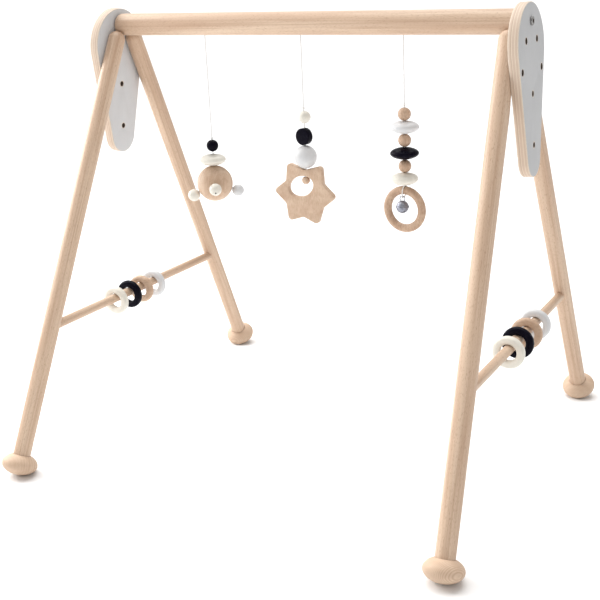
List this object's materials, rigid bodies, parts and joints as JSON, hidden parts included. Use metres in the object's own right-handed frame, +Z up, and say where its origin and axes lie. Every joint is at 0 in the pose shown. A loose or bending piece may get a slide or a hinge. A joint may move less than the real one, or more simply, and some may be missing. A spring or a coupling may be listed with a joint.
{
  "type": "activity play gym",
  "caption": "Freestanding wooden baby play gym: A-frames with bun feet join a top rail that carries hanging bead, star and ring toys, with loose rings on low side bars.",
  "frame": {"origin": "on the floor, under the middle of the top rail", "axes": "+Z up; +X along the top rail, from the bead-cluster toy to the ring-and-bell toy; -Y towards the front, the side the star faces"},
  "size_m": [0.6244, 0.5688, 0.5636],
  "materials": {
    "beech": "clear satin varnish, pale pinkish beige",
    "grey_paint": "matt light grey paint on plywood, with bare edges",
    "cream": "satin cream paint",
    "light_grey": "satin very light grey paint",
    "black": "glossy black paint",
    "steel": "plain steel",
    "bell_metal": "polished nickel plate",
    "cord": "off-white twisted cord",
    "elastic": "black elastic cord"
  },
  "bodies": {
    "frame": {"top_rail": "beech", "hub_plate_left": "grey_paint", "leg_front_left": "beech", "foot_front_left": "beech", "leg_screw_left_front_upper": "steel", "leg_screw_left_front_lower": "steel", "leg_back_left": "beech", "foot_back_left": "beech", "leg_screw_left_back_upper": "steel", "leg_screw_left_back_lower": "steel", "rail_bolt_left": "steel", "side_bar_left": "beech", "hub_plate_right": "grey_paint", "leg_front_right": "beech", "foot_front_right": "beech", "leg_screw_right_front_upper": "steel", "leg_screw_right_front_lower": "steel", "leg_back_right": "beech", "foot_back_right": "beech", "leg_screw_right_back_upper": "steel", "leg_screw_right_back_lower": "steel", "rail_bolt_right": "steel", "side_bar_right": "beech"},
    "ring_left_1": {"ring_left_1": "cream"},
    "ring_left_2": {"ring_left_2": "black"},
    "ring_left_3": {"ring_left_3": "beech"},
    "ring_left_4": {"ring_left_4": "light_grey"},
    "ring_right_1": {"ring_right_1": "cream"},
    "ring_right_2": {"ring_right_2": "black"},
    "ring_right_3": {"ring_right_3": "beech"},
    "ring_right_4": {"ring_right_4": "light_grey"},
    "toy1_line": {"toy1_hanging_cord": "cord"},
    "toy1_string": {"toy1_threaded_cord": "cord"},
    "toy1_black_ball": {"toy1_black_ball": "black"},
    "toy1_cream_disc": {"toy1_cream_disc": "cream"},
    "toy1_big_ball": {"toy1_big_ball": "beech", "toy1_elastic_left_right": "elastic", "toy1_elastic_front_back": "elastic"},
    "toy1_small_bead_left": {"toy1_small_bead_left": "cream"},
    "toy1_small_bead_right": {"toy1_small_bead_right": "light_grey"},
    "toy1_small_bead_front": {"toy1_small_bead_front": "cream"},
    "toy1_small_bead_back": {"toy1_small_bead_back": "light_grey"},
    "toy2_line": {"toy2_hanging_cord": "cord"},
    "toy2_string": {"toy2_threaded_cord": "cord"},
    "toy2_cream_ball": {"toy2_cream_ball": "cream"},
    "toy2_black_coin": {"toy2_black_coin": "black"},
    "toy2_grey_ball": {"toy2_grey_ball": "light_grey"},
    "toy2_star": {"toy2_star": "beech", "toy2_stop_bead": "beech"},
    "toy3_line": {"toy3_hanging_cord": "cord"},
    "toy3_string": {"toy3_threaded_cord": "cord"},
    "toy3_bead_1": {"toy3_bead_1": "beech"},
    "toy3_bead_2": {"toy3_bead_2": "beech"},
    "toy3_bead_3": {"toy3_bead_3": "beech"},
    "toy3_light_grey_disc": {"toy3_light_grey_disc": "light_grey"},
    "toy3_black_disc": {"toy3_black_disc": "black"},
    "toy3_cream_disc": {"toy3_cream_disc": "cream"},
    "toy3_ring": {"toy3_ring": "beech"},
    "toy3_bell": {"toy3_bell": "bell_metal", "toy3_bell_pellet": "steel"}
  },
  "joints": [
    {"name": "ring_left_1_slide", "type": "slide", "parent": "frame", "child": "ring_left_1", "axis": [0, 1, 0], "range_m": [-0.1035, 0.082]},
    {"name": "ring_left_2_slide", "type": "slide", "parent": "ring_left_1", "child": "ring_left_2", "axis": [0, 1, 0], "range_m": [-0.0192, 0.015]},
    {"name": "ring_left_3_slide", "type": "slide", "parent": "ring_left_2", "child": "ring_left_3", "axis": [0, 1, 0], "range_m": [-0.0157, 0.015]},
    {"name": "ring_left_4_slide", "type": "slide", "parent": "ring_left_3", "child": "ring_left_4", "axis": [0, 1, 0], "range_m": [-0.0177, 0.015]},
    {"name": "ring_right_1_slide", "type": "slide", "parent": "frame", "child": "ring_right_1", "axis": [0, 1, 0], "range_m": [-0.1185, 0.049]},
    {"name": "ring_right_2_slide", "type": "slide", "parent": "ring_right_1", "child": "ring_right_2", "axis": [0, 1, 0], "range_m": [-0.0232, 0.015]},
    {"name": "ring_right_3_slide", "type": "slide", "parent": "ring_right_2", "child": "ring_right_3", "axis": [0, 1, 0], "range_m": [-0.0232, 0.015]},
    {"name": "ring_right_4_slide", "type": "slide", "parent": "ring_right_3", "child": "ring_right_4", "axis": [0, 1, 0], "range_m": [-0.0242, 0.015]},
    {"name": "toy1_swing", "type": "hinge", "parent": "frame", "child": "toy1_line", "pos_m": [-0.1395, 0, 0.52821], "axis": [1, 0, 0], "range_deg": [-60, 60]},
    {"name": "toy1_tilt", "type": "hinge", "parent": "toy1_line", "child": "toy1_string", "pos_m": [-0.1395, 0, 0.39691], "axis": [0, 1, 0], "range_deg": [-25, 25]},
    {"name": "toy1_black_ball_spin", "type": "hinge", "parent": "toy1_string", "child": "toy1_black_ball", "pos_m": [-0.1395, 0, 0.38721], "axis": [0, 0, 1], "continuous": true},
    {"name": "toy1_cream_disc_spin", "type": "hinge", "parent": "toy1_string", "child": "toy1_cream_disc", "pos_m": [-0.1395, 0, 0.36861], "axis": [0, 0, 1], "continuous": true},
    {"name": "toy1_big_ball_spin", "type": "hinge", "parent": "toy1_string", "child": "toy1_big_ball", "pos_m": [-0.1395, 0, 0.33711], "axis": [0, 0, 1], "continuous": true},
    {"name": "toy1_small_bead_left_spin", "type": "hinge", "parent": "toy1_big_ball", "child": "toy1_small_bead_left", "pos_m": [-0.1631, -0.01616, 0.32254], "axis": [-0.692, -0.4738, -0.5446], "continuous": true},
    {"name": "toy1_small_bead_right_spin", "type": "hinge", "parent": "toy1_big_ball", "child": "toy1_small_bead_right", "pos_m": [-0.11477, 0.01693, 0.3256], "axis": [0.7285, 0.4988, -0.4695], "continuous": true},
    {"name": "toy1_small_bead_front_spin", "type": "hinge", "parent": "toy1_big_ball", "child": "toy1_small_bead_front", "pos_m": [-0.12141, -0.02642, 0.33487], "axis": [0.5078, -0.7416, -0.4384], "continuous": true},
    {"name": "toy1_small_bead_back_spin", "type": "hinge", "parent": "toy1_big_ball", "child": "toy1_small_bead_back", "pos_m": [-0.15724, 0.02591, 0.33043], "axis": [-0.4988, 0.7285, -0.4695], "continuous": true},
    {"name": "toy2_swing", "type": "hinge", "parent": "frame", "child": "toy2_line", "pos_m": [0, 0, 0.52821], "axis": [1, 0, 0], "range_deg": [-60, 60]},
    {"name": "toy2_tilt", "type": "hinge", "parent": "toy2_line", "child": "toy2_string", "pos_m": [0, 0, 0.44041], "axis": [0, 1, 0], "range_deg": [-25, 25]},
    {"name": "toy2_cream_ball_spin", "type": "hinge", "parent": "toy2_string", "child": "toy2_cream_ball", "pos_m": [0, 0, 0.42941], "axis": [0, 0, 1], "continuous": true},
    {"name": "toy2_black_coin_spin", "type": "hinge", "parent": "toy2_string", "child": "toy2_black_coin", "pos_m": [0, 0, 0.40531], "axis": [0, 0, 1], "continuous": true},
    {"name": "toy2_grey_ball_spin", "type": "hinge", "parent": "toy2_string", "child": "toy2_grey_ball", "pos_m": [0, 0, 0.37971], "axis": [0, 0, 1], "continuous": true},
    {"name": "toy2_star_spin", "type": "hinge", "parent": "toy2_string", "child": "toy2_star", "pos_m": [0, 0, 0.33281], "axis": [0, 0, 1], "continuous": true},
    {"name": "toy3_swing", "type": "hinge", "parent": "frame", "child": "toy3_line", "pos_m": [0.1358, 0, 0.52821], "axis": [1, 0, 0], "range_deg": [-60, 60]},
    {"name": "toy3_tilt", "type": "hinge", "parent": "toy3_line", "child": "toy3_string", "pos_m": [0.1358, 0, 0.44871], "axis": [0, 1, 0], "range_deg": [-25, 25]},
    {"name": "toy3_bead_1_spin", "type": "hinge", "parent": "toy3_string", "child": "toy3_bead_1", "pos_m": [0.1358, 0, 0.43771], "axis": [0, 0, 1], "continuous": true},
    {"name": "toy3_bead_2_spin", "type": "hinge", "parent": "toy3_string", "child": "toy3_bead_2", "pos_m": [0.1358, 0, 0.40671], "axis": [0, 0, 1], "continuous": true},
    {"name": "toy3_bead_3_spin", "type": "hinge", "parent": "toy3_string", "child": "toy3_bead_3", "pos_m": [0.1358, 0, 0.37571], "axis": [0, 0, 1], "continuous": true},
    {"name": "toy3_light_grey_disc_spin", "type": "hinge", "parent": "toy3_string", "child": "toy3_light_grey_disc", "pos_m": [0.1358, 0, 0.42221], "axis": [0, 0, 1], "continuous": true},
    {"name": "toy3_black_disc_spin", "type": "hinge", "parent": "toy3_string", "child": "toy3_black_disc", "pos_m": [0.1358, 0, 0.39121], "axis": [0, 0, 1], "continuous": true},
    {"name": "toy3_cream_disc_spin", "type": "hinge", "parent": "toy3_string", "child": "toy3_cream_disc", "pos_m": [0.1358, 0, 0.36021], "axis": [0, 0, 1], "continuous": true},
    {"name": "toy3_ring_rock", "type": "hinge", "parent": "toy3_string", "child": "toy3_ring", "pos_m": [0.1349, 0, 0.34631], "axis": [0.9954, -0.0958, 0], "range_deg": [-25, 25]},
    {"name": "toy3_bell_swing", "type": "hinge", "parent": "toy3_string", "child": "toy3_bell", "pos_m": [0.13413, -0.00488, 0.33861], "axis": [0.0958, 0.9954, 0], "range_deg": [-25, 25]}
  ]
}
